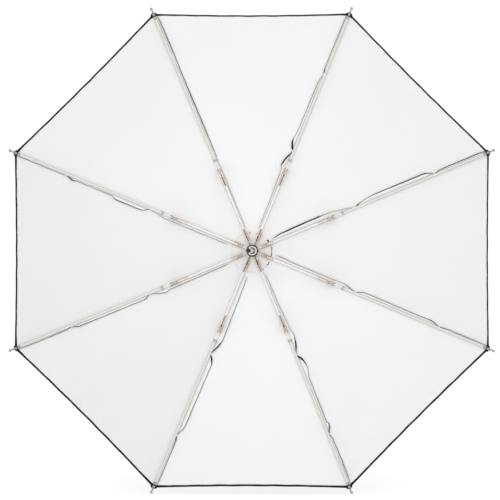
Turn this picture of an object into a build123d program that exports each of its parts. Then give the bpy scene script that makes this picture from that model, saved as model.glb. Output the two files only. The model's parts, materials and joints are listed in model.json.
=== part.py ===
"""Umbrella reflector, open, eight ribs, white lining inside a black cover.

Millimetres. The shaft lies along Y: the free tail end of the shaft tube is at the origin, the crown is at +Y,
the bowl opens towards -Y, and +Z is up. The eight ribs stand at 22.5 + 45 k degrees in the XZ plane.
Every arm is drawn once in the plane X (radial), Y (along the shaft), Z (across the arm) and then turned about Y.
"""

from build123d import *
import math
import os

# ---- driving dimensions -------------------------------------------------
N = 8                      # arms
FIRST_DEG = 22.5           # angle of the first rib from +X towards +Z
SHAFT_R = 4.0              # standard 8 mm umbrella shaft
SHAFT_WALL = 0.8
SHAFT_TOP = 655.0          # crown end of the shaft tube
STOP_BEAD_Y = 256.0        # rolled bead that stops the runner when the umbrella is closed
YC = 640.0                 # height of the crown hinge ring along the shaft
PIVOT_R = 10.0             # radius of both hinge wires

RIB_R = 2.4                # fibreglass rib rod
RIB_LEN = 563.0            # arc length of a rib, crown hinge to tip ball
SLOPE0 = 7.0               # rib slope at the crown, degrees below the crown plane
KAPPA = 0.1105             # greatest bend of the rib, degrees per millimetre
KAPPA_S = 190.0            # where along the rib the bend is greatest
KAPPA_END = 0.25           # share of that bend left at the tip
STRUT_S = 174.0            # where along the rib the stretcher bracket sits
STRUT_DROP = 6.0           # bracket pivot below the rib's centre line
STRETCH_R = 1.7            # stretcher rod

CANOPY_R = 496.0           # corner radius of the canopy
CANOPY_GAP = 3.4           # inner face of the lining above the rib's centre line
CLOTH = 0.30               # thickness of each cloth layer
CLOTH_GAP = 0.10
HEM = 2.6                  # black hem turned over the edge of the lining
ROSETTE_R = 41.0

WIRE_R = 0.60              # hinge wires
EYE_R = 0.66
TAB_T = 1.9                # eyelet tabs
SLOT_W = 2.2               # slots in the crown notch and the runner
PIN_R = 1.0
RUN_BORE = 4.08            # runner bore, running fit on the shaft

os.makedirs("parts", exist_ok=True)


# ---- the rib's centre line ----------------------------------------------
def kappa(s):
    if s < KAPPA_S:
        return KAPPA * s / KAPPA_S
    return KAPPA * (1 - (1 - KAPPA_END) * (s - KAPPA_S) / (RIB_LEN - KAPPA_S))


DS = 0.25
CURVE = [(PIVOT_R, 0.0, SLOPE0)]
for k in range(int((RIB_LEN + 6) / DS)):
    x, h, a = CURVE[-1]
    mid = a + kappa((k + 0.5) * DS) * DS / 2
    CURVE.append((x + DS * math.cos(math.radians(mid)), h + DS * math.sin(math.radians(mid)),
                  a + kappa((k + 0.5) * DS) * DS))


def rib(s):
    """(radius, drop below the crown ring, slope in degrees) at arc length s."""
    f = max(0.0, s / DS)
    i = min(int(f), len(CURVE) - 2)
    t = f - i
    return tuple(CURVE[i][j] * (1 - t) + CURVE[i + 1][j] * t for j in range(3))


def at(s, off=0.0):
    """Point in the arm plane, off millimetres from the centre line towards the crown side."""
    x, h, a = rib(s)
    a = math.radians(a)
    return (x + off * math.sin(a), YC - h + off * math.cos(a))


def direction(s):
    a = math.radians(rib(s)[2])
    return (math.cos(a), -math.sin(a))


STRUT = at(STRUT_S, -STRUT_DROP)                       # stretcher pivot on the rib
D1 = math.hypot(STRUT[0] - PIVOT_R, YC - STRUT[1])     # crown hinge to stretcher pivot
RUN_Y = 2 * STRUT[1] - YC                              # equal links: the runner ring mirrors the crown ring
RUN = (PIVOT_R, RUN_Y)


# ---- helpers -------------------------------------------------------------
def tube_along(points, radius):
    path = Spline(*[Vector(p[0], p[1], 0) for p in points])
    start = Plane(origin=path @ 0, z_dir=path % 0)
    return sweep(start * Circle(radius), path=path)


def span(s0, s1, step):
    n = max(2, int(round((s1 - s0) / step)))
    return [at(s0 + (s1 - s0) * k / n) for k in range(n + 1)]


def sleeve(s0, s1, outer, inner):
    body = tube_along(span(s0, s1, 12), outer)
    if inner:
        body = body - tube_along(span(s0 - 2, s1 + 2, 12), inner)
    return body


def rod(p, q, radius):
    d = Vector(q[0] - p[0], q[1] - p[1], 0)
    return Plane(origin=(p[0], p[1], 0), z_dir=d) * Cylinder(
        radius, d.length, align=(Align.CENTER, Align.CENTER, Align.MIN))


def cross(p, radius, width):
    return Pos(p[0], p[1], 0) * Cylinder(radius, width)


def plate(points, thickness, z=0.0):
    face = make_face(Polyline(*[(x, y) for x, y in points], close=True))
    return Pos(0, 0, z) * extrude(face, amount=thickness / 2, both=True)


def link_frame(p, q):
    """Plane with x along p to q in the arm plane, z across the arm."""
    return Plane(origin=(p[0], p[1], 0), x_dir=(q[0] - p[0], q[1] - p[1], 0), z_dir=(0, 0, 1))


def turned(shape, k, first=FIRST_DEG):
    return Rot(0, -(first + 45.0 * k), 0) * shape


def solids_of(shape):
    return shape.solids() if hasattr(shape, "solids") else [s for x in shape for s in x.solids()]


def save(name, *shapes):
    found = [s for x in shapes for s in solids_of(x)]
    part = Compound(children=found) if len(found) > 1 else found[0]
    part.label = name
    export_step(part, f"parts/{name}.step")


def octagon_wire(radius, wire_r, y):
    """A closed wire bent to an octagon whose sides cross the eight arms at the given radius."""
    corner = radius / math.cos(math.pi / N)
    pts = [Vector(corner * math.cos(math.pi * 2 * k / N), y, corner * math.sin(math.pi * 2 * k / N)) for k in range(N)]
    out = None
    for k in range(N):
        a, b = pts[k], pts[(k + 1) % N]
        seg = Plane(origin=a, z_dir=b - a) * Cylinder(wire_r, (b - a).length, align=(Align.CENTER, Align.CENTER, Align.MIN))
        seg = seg + Pos(a.X, a.Y, a.Z) * Sphere(wire_r)
        out = seg if out is None else out + seg
    return out


def along_y(radius, y0, y1):
    return Plane(origin=(0, y0, 0), z_dir=(0, 1, 0)) * Cylinder(radius, y1 - y0, align=(Align.CENTER, Align.CENTER, Align.MIN))


def turned_profile(points):
    """Solid of revolution about the shaft from (radius, y) points."""
    face = make_face(Polyline(*[(x, y) for x, y in points], close=True))
    return revolve(face, axis=Axis.Y)


def slots(y0, y1, inner, outer):
    cut = None
    for k in range(N):
        one = turned(Pos((inner + outer) / 2, (y0 + y1) / 2, 0) * Box(outer - inner, y1 - y0, SLOT_W), k)
        cut = one if cut is None else cut + one
    return cut


# ---- shaft and its fittings ----------------------------------------------
tube = turned_profile([
    (SHAFT_R - SHAFT_WALL, 0), (SHAFT_R, 0), (SHAFT_R, STOP_BEAD_Y), (SHAFT_R + 0.5, STOP_BEAD_Y + 0.8),
    (SHAFT_R + 0.5, STOP_BEAD_Y + 1.8), (SHAFT_R, STOP_BEAD_Y + 2.6), (SHAFT_R, SHAFT_TOP), (SHAFT_R - SHAFT_WALL, SHAFT_TOP)])
PIN_Y = RUN_Y + 5.3        # stop pin on the crown side of the open runner
CROWN_PIN_Y = YC - 9.0
for y in (PIN_Y, CROWN_PIN_Y):
    tube -= Pos(0, y, 0) * Cylinder(PIN_R + 0.02, 20)
RUN_TAIL = RUN_Y - 42.0
tube -= Pos(SHAFT_R, RUN_TAIL - 12.5, 0) * Box(5, 24, 1.9)      # slot for the catch
save("shaft", tube)

cap = turned_profile([(0, -3), (3.3, -3), (SHAFT_R, -2.2), (SHAFT_R, 0), (3.15, 0), (3.15, 12), (2.4, 13), (0, 13)])
save("tail_cap", cap)

# the catch: a spring blade in the tube with a wedge nose that stands out of the slot
catch = plate([(1.2, RUN_TAIL - 23.5), (2.9, RUN_TAIL - 23.5), (3.3, RUN_TAIL - 20), (6.4, RUN_TAIL - 1.6), (6.4, RUN_TAIL - 0.9),
               (1.6, RUN_TAIL - 0.9), (1.2, RUN_TAIL - 4)], 1.6)
save("runner_catch", catch)

# crown notch: slotted disc on a short hub, pinned to the shaft
disc = along_y(12.5, YC - 4.2, YC + 4.0) + along_y(7.6, YC - 13, YC - 4.2)
disc -= along_y(SHAFT_R + 0.03, YC - 20, YC + 10)
disc -= slots(YC - 5.0, YC + 5, 7.1, 16)
disc -= octagon_wire(PIVOT_R, EYE_R, YC)
disc -= Pos(0, CROWN_PIN_Y, 0) * Cylinder(PIN_R + 0.02, 30)
save("crown_notch", disc)

crown_wire = octagon_wire(PIVOT_R, WIRE_R, YC)
stop_pin = Pos(0, PIN_Y, 0) * Cylinder(PIN_R, 11.6)
crown_pin = Pos(0, CROWN_PIN_Y, 0) * Cylinder(PIN_R, 16.4)
save("crown_wire_and_pins", crown_wire, stop_pin, crown_pin)

# ferrule: the cap nut on the crown end of the shaft that holds the canopy down
TOP = YC + 6.3
ferrule = turned_profile([(0, TOP + 25), (0, SHAFT_TOP + 0.6), (SHAFT_R + 0.03, SHAFT_TOP + 0.6), (SHAFT_R + 0.03, TOP), (11, TOP),
                          (11, TOP + 1.2), (7.0, TOP + 2.8), (6.0, TOP + 6), (5.4, TOP + 19), (4.4, TOP + 23), (2.4, TOP + 24.7)])
save("ferrule", ferrule)

# ---- runner ---------------------------------------------------------------
runner = turned_profile([
    (RUN_BORE, RUN_TAIL + 0.6), (RUN_BORE + 0.6, RUN_TAIL), (8.2, RUN_TAIL), (9.0, RUN_TAIL + 0.8), (9.0, RUN_TAIL + 3.2), (8.2, RUN_TAIL + 4.0),
    (6.4, RUN_TAIL + 5.5), (6.1, RUN_TAIL + 20), (6.6, RUN_Y - 7.5), (9.5, RUN_Y - 4.6), (12.5, RUN_Y - 4.0), (12.5, RUN_Y + 4.0),
    (RUN_BORE, RUN_Y + 4.0)])
runner -= slots(RUN_Y - 6.0, RUN_Y + 5, 7.1, 16)
runner -= octagon_wire(PIVOT_R, EYE_R, RUN_Y)
save("runner", runner)
save("runner_wire", octagon_wire(PIVOT_R, WIRE_R, RUN_Y))


# ---- one arm, drawn in the XY plane ----------------------------------------
def tab(p, d, length, radius=2.6):
    """Flat eyelet tab with its eye at p, reaching length along direction d."""
    f = Plane(origin=(p[0], p[1], 0), x_dir=(d[0], d[1], 0), z_dir=(0, 0, 1))
    shape = f * (Cylinder(radius, TAB_T) + Pos(length / 2, 0, 0) * Box(length, 3.4, TAB_T))
    return shape - cross(p, EYE_R, 10)


def arm_rib():
    rod_ = tube_along(span(15.5, 546.0, 45), RIB_R)
    root = tab((PIVOT_R, YC), direction(3), 13.5) + sleeve(11.5, 31.0, 3.0, None)
    root = root - tube_along(span(15.0, 40.0, 12), RIB_R + 0.02)
    # clip collar, open towards the canopy, just outboard of the stretcher bracket
    clip = sleeve(STRUT_S + 17.6, STRUT_S + 21.6, 3.9, RIB_R + 0.03)
    m = at(STRUT_S + 19.6, 3.0)
    d = direction(STRUT_S + 19.6)
    clip -= Plane(origin=(m[0], m[1], 0), x_dir=(d[0], d[1], 0), z_dir=(0, 0, 1)) * Box(10, 3.4, 8)
    # bracket: moulded sleeve with a lug on the inner side
    saddle = sleeve(STRUT_S - 9.0, STRUT_S + 17.0, 3.1, None)
    lugd = direction(STRUT_S)
    f = Plane(origin=(STRUT[0], STRUT[1], 0), x_dir=(lugd[0], lugd[1], 0), z_dir=(0, 0, 1))
    lug = f * (Cylinder(2.8, 2.5) + Pos(0.6, STRUT_DROP / 2, 0) * Box(6.8, STRUT_DROP, 2.5))
    web = f * plate([(2.0, 0.6), (4.0, 3.2), (13.0, 4.6), (13.0, STRUT_DROP), (0, STRUT_DROP)], 2.5)
    bracket = saddle + lug + web
    bracket -= tube_along(span(STRUT_S - 14, STRUT_S + 22, 12), RIB_R + 0.02)
    bracket -= cross(STRUT, PIN_R + 0.05, 12)
    # tip: sleeve, neck and ball
    b = at(RIB_LEN - 2.8)
    e = at(RIB_LEN - 16)
    tip = sleeve(536.0, 550.0, 3.0, None) + rod(e, b, 1.6) + Pos(b[0], b[1], 0) * Sphere(2.8)
    tip -= tube_along(span(530.0, 546.05, 9), RIB_R + 0.02)
    return rod_, root, clip, bracket, tip


def arm_stretcher():
    f = link_frame(RUN, STRUT)
    L = D1
    bar = f * (Pos(22, 0, 0) * Rot(0, 90, 0) * Cylinder(STRETCH_R, L - 44, align=(Align.CENTER, Align.CENTER, Align.MIN)))
    # runner end: flat eyelet, folded channel open on the tail side, crimped barrel on the rod
    inner = Cylinder(2.6, TAB_T) + Pos(5.0, 0, 0) * Box(10.0, 3.4, TAB_T)
    channel = Pos(15.5, 0, 0) * Box(17.0, 4.4, 5.0) - Pos(16.5, -1.0, 0) * Box(14.0, 4.4, 3.2)
    barrel = Pos(23.0, 0, 0) * Rot(0, 90, 0) * Cylinder(2.5, 14.0, align=(Align.CENTER, Align.CENTER, Align.MIN))
    inner = inner + channel + barrel
    inner -= Pos(21.9, 0, 0) * Rot(0, 90, 0) * Cylinder(STRETCH_R + 0.02, 30, align=(Align.CENTER, Align.CENTER, Align.MIN))
    inner -= Cylinder(EYE_R, 10)
    # rib end: crimped barrel, channel, two cheeks over the bracket lug, headed rivet
    barrel2 = Pos(L - 37.0, 0, 0) * Rot(0, 90, 0) * Cylinder(2.5, 21.0, align=(Align.CENTER, Align.CENTER, Align.MIN))
    barrel2 -= Pos(L - 60.0, 0, 0) * Rot(0, 90, 0) * Cylinder(STRETCH_R + 0.02, 38.1, align=(Align.CENTER, Align.CENTER, Align.MIN))
    web = Pos(L - 13.5, 0, 0) * Box(8.0, 4.6, 5.2) - Pos(L - 12.5, -1.1, 0) * Box(6.4, 4.6, 2.9)
    cheeks = None
    for z in (-1.95, 1.95):
        c = Pos(L, 0, z) * Cylinder(2.7, 1.1) + Pos(L - 6.0, 0, z) * Box(12.0, 4.6, 1.1)
        cheeks = c if cheeks is None else cheeks + c
    outer = barrel2 + web + cheeks
    outer -= Pos(L, 0, 0) * Cylinder(2.95, 2.7)
    outer += Pos(L, 0, 0) * Cylinder(PIN_R, 6.2)
    for z in (-2.8, 2.8):
        outer += Pos(L, 0, z) * Cylinder(1.7, 0.6)
    return bar, f * inner, f * outer


rod_, root, clip, bracket, tip = arm_rib()
bar, inner_end, outer_end = arm_stretcher()
for k in range(N):
    n = k + 1
    save(f"rib_rod_{n}", turned(rod_, k))
    save(f"rib_root_{n}", turned(root, k), turned(clip, k))
    save(f"rib_bracket_{n}", turned(bracket, k))
    save(f"rib_tip_{n}", turned(tip, k))
    save(f"stretcher_rod_{n}", turned(bar, k))
    save(f"stretcher_ends_{n}", turned(inner_end, k), turned(outer_end, k))

ties = []
for k in range(N):
    for s in (221.0, 416.0):
        p, d = at(s - 1.5), direction(s)
        ring = RegularPolygon(RIB_R + 0.75, 16) - RegularPolygon(RIB_R + 0.12, 16)
        ties.append(turned(extrude(Plane(origin=(p[0], p[1], 0), z_dir=(d[0], d[1], 0)) * ring, amount=3.0), k))
save("thread_ties", *ties)


# ---- canopy: eight gores, each straight across and curved along its length ---
def inner_line():
    """(u, y) points of the lining's inner face along the middle of a gore."""
    c = math.cos(math.pi / N)
    out = [(4.5, YC + 4.9), (9.0, YC + 4.85), (14.0, YC + 4.5)]
    for s, off in ((18.0, 4.8), (30.0, 4.2), (42.0, 3.7)):
        x, y = at(s, off)
        out.append((x * c, y))
    s = 60.0
    while True:
        x, y = at(s, CANOPY_GAP)
        if x >= CANOPY_R - 20:
            break
        out.append((x * c, y))
        s += 48.0
    lo, hi = s - 48.0, RIB_LEN
    for _ in range(40):
        mid = (lo + hi) / 2
        if at(mid, CANOPY_GAP)[0] < CANOPY_R:
            lo = mid
        else:
            hi = mid
    x, y = at(lo, CANOPY_GAP)
    out.append((x * c, y))
    return out, lo


LINE, RIM_S = inner_line()
BASE = Spline(*[Vector(u, y, 0) for u, y in LINE])


STATIONS = (0.0, 0.01, 0.02, 0.032, 0.046, 0.062, 0.08, 0.11, 0.16, 0.25, 0.36, 0.48, 0.6, 0.72, 0.84, 0.93, 1.0)


def offset_points(dist, t0=0.0, t1=1.0):
    out = []
    inside = [t for t in STATIONS if t0 + 0.004 < t < t1 - 0.004]
    for t in [t0] + inside + [t1]:
        p, d = BASE @ t, BASE % t
        out.append(Vector(p.X - d.Y * dist, p.Y + d.X * dist, 0))   # towards the crown side
    return out


def gore(profile_edges):
    face = make_face(profile_edges)
    band = extrude(face, amount=260, both=True)
    reach = 560.0
    half = reach * math.tan(math.pi / N)
    wedge = Plane.XZ * make_face(Polyline((0, 0), (reach, half), (reach, -half), close=True))
    wedge = extrude(wedge, amount=900, both=True)
    return band & wedge


def shell(profile_edges):
    one = gore(profile_edges)
    out = None
    for k in range(N):
        piece = Rot(0, -45.0 * k, 0) * one
        out = piece if out is None else out + piece
    return out


def layer(lower, upper, t0=0.0, t1=1.0):
    a = offset_points(lower, t0, t1)
    b = offset_points(upper, t0, t1)
    return [Spline(*a), Line(a[-1], b[-1]), Spline(*b), Line(b[0], a[0])]


HEM_T = 1 - HEM / BASE.length
lining = shell(layer(0, CLOTH, 0, HEM_T))
save("canopy_lining", lining)
C0, C1 = CLOTH + CLOTH_GAP, 2 * CLOTH + CLOTH_GAP
a = offset_points(C0, 0, HEM_T + 0.0002)
b = offset_points(C1, 0, 1)
c_ = offset_points(0, HEM_T + 0.0002, 1)
cover = shell([Spline(*a), Line(a[-1], c_[0]), Spline(*c_), Line(c_[-1], b[-1]), Spline(*b), Line(b[0], a[0])])
save("canopy_cover", cover)

# rosette: round of white cloth with a pinked edge, between the ribs and the lining
ros = shell(layer(-0.45, -0.15, 0.0, 60.0 / BASE.length))
pinked = []
for k in range(96):
    r = ROSETTE_R + (1.2 if k % 2 else -1.2)
    pinked.append((r * math.cos(math.pi * 2 * k / 96), r * math.sin(math.pi * 2 * k / 96)))
prism = extrude(Plane.XZ * make_face(Polyline(*pinked, close=True)), amount=900, both=True)
ros = ros & prism
save("rosette", ros)

print("strut", STRUT, "link", D1, "runner ring y", RUN_Y, "runner tail", RUN_TAIL)
print("tip", rib(RIB_LEN), "rim s", RIM_S, LINE[-1], "slopes", [round(rib(s)[2], 1) for s in (0, 100, 174, 190, 300, 400, 500, 560)])
print("solids", [len(x.solids()) for x in (lining, cover, ros)])
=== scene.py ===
"""An open eight-ribbed umbrella, seen from inside its bowl.

The shaft lies along Y with the crown towards +Y, so the bowl opens towards -Y. Rib i stands at
22.5 + 45 (i - 1) degrees in the XZ plane, measured from +X towards +Z, which is anticlockwise
for the camera. Gore k is the cloth centred on 45 k degrees. Sizes are in millimetres until a
mesh is made, and its points are in metres.
"""
import json
import math
import random

import bmesh
import bpy
import numpy as np
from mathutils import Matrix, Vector

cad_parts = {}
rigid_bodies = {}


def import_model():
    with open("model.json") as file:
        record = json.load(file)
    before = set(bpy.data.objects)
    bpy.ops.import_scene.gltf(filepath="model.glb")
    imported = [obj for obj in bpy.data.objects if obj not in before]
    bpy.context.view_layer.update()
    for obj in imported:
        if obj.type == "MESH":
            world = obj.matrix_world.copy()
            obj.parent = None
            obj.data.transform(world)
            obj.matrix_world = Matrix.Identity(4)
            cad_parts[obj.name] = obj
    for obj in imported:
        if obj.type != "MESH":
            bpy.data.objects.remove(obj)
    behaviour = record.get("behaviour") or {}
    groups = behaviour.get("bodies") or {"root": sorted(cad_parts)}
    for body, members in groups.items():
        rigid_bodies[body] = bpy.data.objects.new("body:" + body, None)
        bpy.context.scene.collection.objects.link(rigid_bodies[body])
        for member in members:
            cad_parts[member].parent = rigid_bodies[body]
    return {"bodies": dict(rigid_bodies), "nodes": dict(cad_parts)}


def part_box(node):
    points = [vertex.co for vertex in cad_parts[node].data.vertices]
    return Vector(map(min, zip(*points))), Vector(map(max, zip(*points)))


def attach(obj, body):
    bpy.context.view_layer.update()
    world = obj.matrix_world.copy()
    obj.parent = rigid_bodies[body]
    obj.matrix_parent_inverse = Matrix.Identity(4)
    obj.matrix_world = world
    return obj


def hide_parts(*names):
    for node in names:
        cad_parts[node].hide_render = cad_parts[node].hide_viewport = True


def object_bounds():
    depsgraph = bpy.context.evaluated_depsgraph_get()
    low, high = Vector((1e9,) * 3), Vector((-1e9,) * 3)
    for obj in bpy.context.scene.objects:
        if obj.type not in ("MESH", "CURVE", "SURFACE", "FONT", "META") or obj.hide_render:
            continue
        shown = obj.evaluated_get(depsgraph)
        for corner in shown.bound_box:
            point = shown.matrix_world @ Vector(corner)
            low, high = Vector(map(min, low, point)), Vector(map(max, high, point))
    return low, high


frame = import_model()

CAD_LO, CAD_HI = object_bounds()
NODES = frame["nodes"]
BODIES = frame["bodies"]

MM = 0.001
N_RIBS = 8
PITCH = 360.0 / N_RIBS                # degrees from one rib to the next
COS_HALF = math.cos(math.pi / N_RIBS)
TAN_HALF = math.tan(math.pi / N_RIBS)
AXIS = np.array([0.0, 1.0, 0.0])      # along the shaft, towards the crown

# ------------------------------------------------------------------ rib curve
PIVOT_R = 10.0                        # from the shaft's axis to the rib's hinge
RIB_LEN = 563.0
RIB_R = 2.4
STRETCHER_R = 1.7
ROOT_SLOPE = 7.0                      # degrees below level at the hinge
BEND_PEAK = 0.1105                    # strongest bend, degrees per mm
BEND_PEAK_ARC = 190.0                 # arc length where it is reached
BEND_TIP = 0.25                       # share of it left at the tip
ARC_STEP = 0.25
CROWN_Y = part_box("crown_wire_and_pins")[1].y / MM - 0.6     # plane of the rib hinges


def rib_bend(arc):
    """Bend in degrees per mm at an arc length."""
    if arc < BEND_PEAK_ARC:
        return BEND_PEAK * arc / BEND_PEAK_ARC
    return BEND_PEAK * (1 - (1 - BEND_TIP) * (arc - BEND_PEAK_ARC) / (RIB_LEN - BEND_PEAK_ARC))


def rib_curve():
    """Rows of (radius, drop below the hinge plane, slope in degrees), one each ARC_STEP."""
    rows = [(PIVOT_R, 0.0, ROOT_SLOPE)]
    for k in range(int((RIB_LEN + 6) / ARC_STEP)):
        x, drop, slope = rows[-1]
        bend = rib_bend((k + 0.5) * ARC_STEP)
        middle = math.radians(slope + bend * ARC_STEP / 2)
        rows.append((x + ARC_STEP * math.cos(middle), drop + ARC_STEP * math.sin(middle),
                     slope + bend * ARC_STEP))
    return np.array(rows)


CURVE = rib_curve()
CURVE_ARCS = np.arange(len(CURVE)) * ARC_STEP


def rib_at(arc):
    """(radius, drop, slope in degrees) of a rib at an arc length."""
    return tuple(np.interp(arc, CURVE_ARCS, CURVE[:, column]) for column in range(3))


def rib_point(arc, offset):
    """(radius, y) at an arc length of a rib, offset towards the crown side."""
    x, drop, slope = rib_at(arc)
    slope = np.radians(slope)
    return x + offset * np.sin(slope), CROWN_Y - drop + offset * np.cos(slope)


def rib_angle(i):
    """Angle of rib i, 1 to 8."""
    return math.radians(PITCH / 2 + PITCH * (i - 1))


def outward(angle):
    return np.array([math.cos(angle), 0.0, math.sin(angle)])


def sideways(angle):
    """Unit vector across a radius, anticlockwise."""
    return np.array([-math.sin(angle), 0.0, math.cos(angle)])


def rib_frame(i, arc):
    """Centre of rib i, with unit vectors along it, across it and towards the crown side."""
    out = outward(rib_angle(i))
    x, drop, slope = rib_at(arc)
    slope = math.radians(float(slope))
    centre = float(x) * out + (CROWN_Y - float(drop)) * AXIS
    along = math.cos(slope) * out - math.sin(slope) * AXIS
    normal = math.sin(slope) * out + math.cos(slope) * AXIS
    return centre, along, sideways(rib_angle(i)), normal


# ------------------------------------------------------------------ canopy surface
CANOPY_R = 496.0                      # radius of the rim's corners
RIB_GAP = 3.4                         # rib centre to the lining's inner face
DIST_IN = 4.6                         # where the cloth starts beside the shaft
# (distance from the axis, height above the hinge plane) over the crown
CROWN_LINE = ((4.5, 4.9), (9.0, 4.85), (14.0, 4.5))
# (arc length, offset from the rib's centre) where the cloth comes down to the ribs
ROOT_STATIONS = [(18.0, 4.8), (30.0, 4.2), (42.0, 3.7)]
STATION_START, STATION_STEP = 60.0, 4.0

# by gore: how far its middle hangs inward, and how far its edge is drawn in
SAG = [4.2, 4.8, 4.0, 4.5, 4.4, 4.9, 4.1, 4.6]
EDGE_IN = [1.4, 2.0, 2.6, 2.0, 1.6, 2.6, 2.4, 2.2]

PUCKER = 0.16                         # size of the wrinkles beside a seam
# (relative size, radians per mm, share of the phase) of the waves they are made of
PUCKER_WAVES = ((1.0, 0.52, 1.0), (0.6, 0.31, 2.1), (0.45, 0.83, 0.7))


def cloth_stations():
    """Arc lengths where the cloth runs at RIB_GAP from the ribs, the last at the rim."""
    arcs = []
    arc = STATION_START
    while rib_point(arc, RIB_GAP)[0] < CANOPY_R:
        arcs.append(arc)
        arc += STATION_STEP
    low, high = arc - STATION_STEP, arc
    for _ in range(40):
        middle = (low + high) / 2
        if rib_point(middle, RIB_GAP)[0] < CANOPY_R:
            low = middle
        else:
            high = middle
    return arcs + [low]


STATIONS = cloth_stations()
RIM_ARC = STATIONS[-1]


def profile_line():
    """Points (distance from the axis, y) of the lining along the middle of a gore."""
    line = [(dist, CROWN_Y + rise) for dist, rise in CROWN_LINE]
    for arc, offset in ROOT_STATIONS + [(arc, RIB_GAP) for arc in STATIONS]:
        x, y = rib_point(arc, offset)
        line.append((x * COS_HALF, y))
    return np.array(line)


LINE = profile_line()
DIST_RIM = float(LINE[-1, 0])
RIM_HALF = DIST_RIM * TAN_HALF        # half a gore's width at the rim


def hermite(xs, ys, query):
    """Cubic interpolation; inner slopes are the mean of the two segments beside them."""
    steps = np.diff(ys) / np.diff(xs)
    slopes = np.empty(len(xs))
    slopes[0], slopes[-1] = 0.0, steps[-1]
    slopes[1:-1] = (steps[:-1] + steps[1:]) / 2
    k = np.clip(np.searchsorted(xs, query) - 1, 0, len(xs) - 2)
    width = xs[k + 1] - xs[k]
    t = (query - xs[k]) / width
    return ((2 * t**3 - 3 * t**2 + 1) * ys[k] + (t**3 - 2 * t**2 + t) * width * slopes[k]
            + (-2 * t**3 + 3 * t**2) * ys[k + 1] + (t**3 - t**2) * width * slopes[k + 1])


def profile(dist):
    """y of the lining's inner face along the middle of a gore, straight on past the rim."""
    dist = np.asarray(dist, float)
    inside = hermite(LINE[:, 0], LINE[:, 1], np.clip(dist, LINE[0, 0], DIST_RIM))
    end_slope = (LINE[-1, 1] - LINE[-2, 1]) / (LINE[-1, 0] - LINE[-2, 0])
    return inside + np.where(dist > DIST_RIM, (dist - DIST_RIM) * end_slope, 0.0)


def pucker(dist, side, seed):
    """Small cross wrinkles of the cloth, side mm from a seam."""
    fade = np.exp(-np.abs(side) / 7.0) * np.clip((dist - 60) / 80, 0, 1)
    phase = seed * 1.7 + np.sign(side) * 0.9
    waves = sum(size * np.sin(dist * rate + share * phase) for size, rate, share in PUCKER_WAVES)
    return PUCKER * waves * fade


def gore_points(gore, lateral, dist, offset):
    """Points on a gore, in metres.

    lateral runs -1 to 1 across the gore, dist is the distance from the axis along its middle,
    and offset goes from the lining's inner face towards the crown side.
    """
    angle = math.radians(PITCH * gore)
    lateral, dist = np.broadcast_arrays(np.asarray(lateral, float), np.asarray(dist, float))
    reach = np.clip((dist - DIST_IN) / (DIST_RIM - DIST_IN), 0, 1.05)
    cup = 1 - lateral**2
    drawn = dist - EDGE_IN[gore] * cup * reach**6
    y = profile(drawn)
    delta = 0.5
    slope = (profile(drawn + delta) - profile(drawn - delta)) / (2 * delta)
    length = np.sqrt(1 + slope**2)
    side = (1 - np.abs(lateral)) * dist * TAN_HALF
    sag = SAG[gore] * np.sin(np.clip(reach, 0, 1) * math.pi * 0.93) ** 1.3 * cup**1.2
    wrinkle = pucker(dist, side * np.where(lateral < 0, -1, 1), gore + (lateral > 0) * 1.0)
    rim_wave = 0.35 * np.sin(lateral * 23 + gore * 2) * np.clip((reach - 0.9) / 0.1, 0, 1) * cup
    offset = np.asarray(offset, float) - sag + wrinkle * np.clip(side / 2.5, 0, 1) + rim_wave
    drawn = drawn - slope / length * offset
    y = y + 1 / length * offset
    across = lateral * dist * TAN_HALF
    return (drawn[..., None] * outward(angle) + across[..., None] * sideways(angle)
            + y[..., None] * AXIS) * MM


def beside_rib(i, arc, side, offset):
    """Cloth points side mm across from rib i, all on one side of it, plus anticlockwise."""
    dist = rib_point(arc, RIB_GAP)[0] * COS_HALF
    side = np.asarray(side, float)
    step = side / COS_HALF / (dist * TAN_HALF)
    if side.ravel()[-1] >= 0:
        return gore_points(i % N_RIBS, -1 + step, dist, offset)
    return gore_points((i - 1) % N_RIBS, 1 + step, dist, offset)


# ------------------------------------------------------------------ mesh helpers
def make_mesh(name, verts, faces, look, uv=None, sharp=None):
    """Smooth-shaded object; uv is per vertex, and edges between two sharp vertices are sharp."""
    mesh = bpy.data.meshes.new(name)
    mesh.from_pydata([tuple(v) for v in verts], [], [tuple(int(i) for i in f) for f in faces])
    mesh.update()
    mesh.shade_smooth()
    if uv is not None:
        layer = mesh.uv_layers.new(name="cloth")
        corners = np.zeros(len(mesh.loops), np.int64)
        mesh.loops.foreach_get("vertex_index", corners)
        layer.data.foreach_set("uv", np.asarray(uv, np.float32)[corners].ravel())
    if sharp is not None:
        flags = (mesh.attributes.get("sharp_edge")
                 or mesh.attributes.new("sharp_edge", "BOOLEAN", "EDGE"))
        ends = np.zeros(len(mesh.edges) * 2, np.int64)
        mesh.edges.foreach_get("vertices", ends)
        ends = ends.reshape(-1, 2)
        flags.data.foreach_set("value", sharp[ends[:, 0]] & sharp[ends[:, 1]])
    ob = bpy.data.objects.new(name, mesh)
    bpy.context.scene.collection.objects.link(ob)
    mesh.materials.append(look.material)
    return ob


def vertex_places(ob):
    places = np.zeros(len(ob.data.vertices) * 3)
    ob.data.vertices.foreach_get("co", places)
    return places.reshape(-1, 3)


def ring_faces(rings, sides):
    """Quads between rings of points that follow one another."""
    faces = []
    for ring in range(rings - 1):
        here, there = ring * sides, (ring + 1) * sides
        for j in range(sides):
            j2 = (j + 1) % sides
            faces.append((here + j, here + j2, there + j2, there + j))
    return faces


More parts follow.
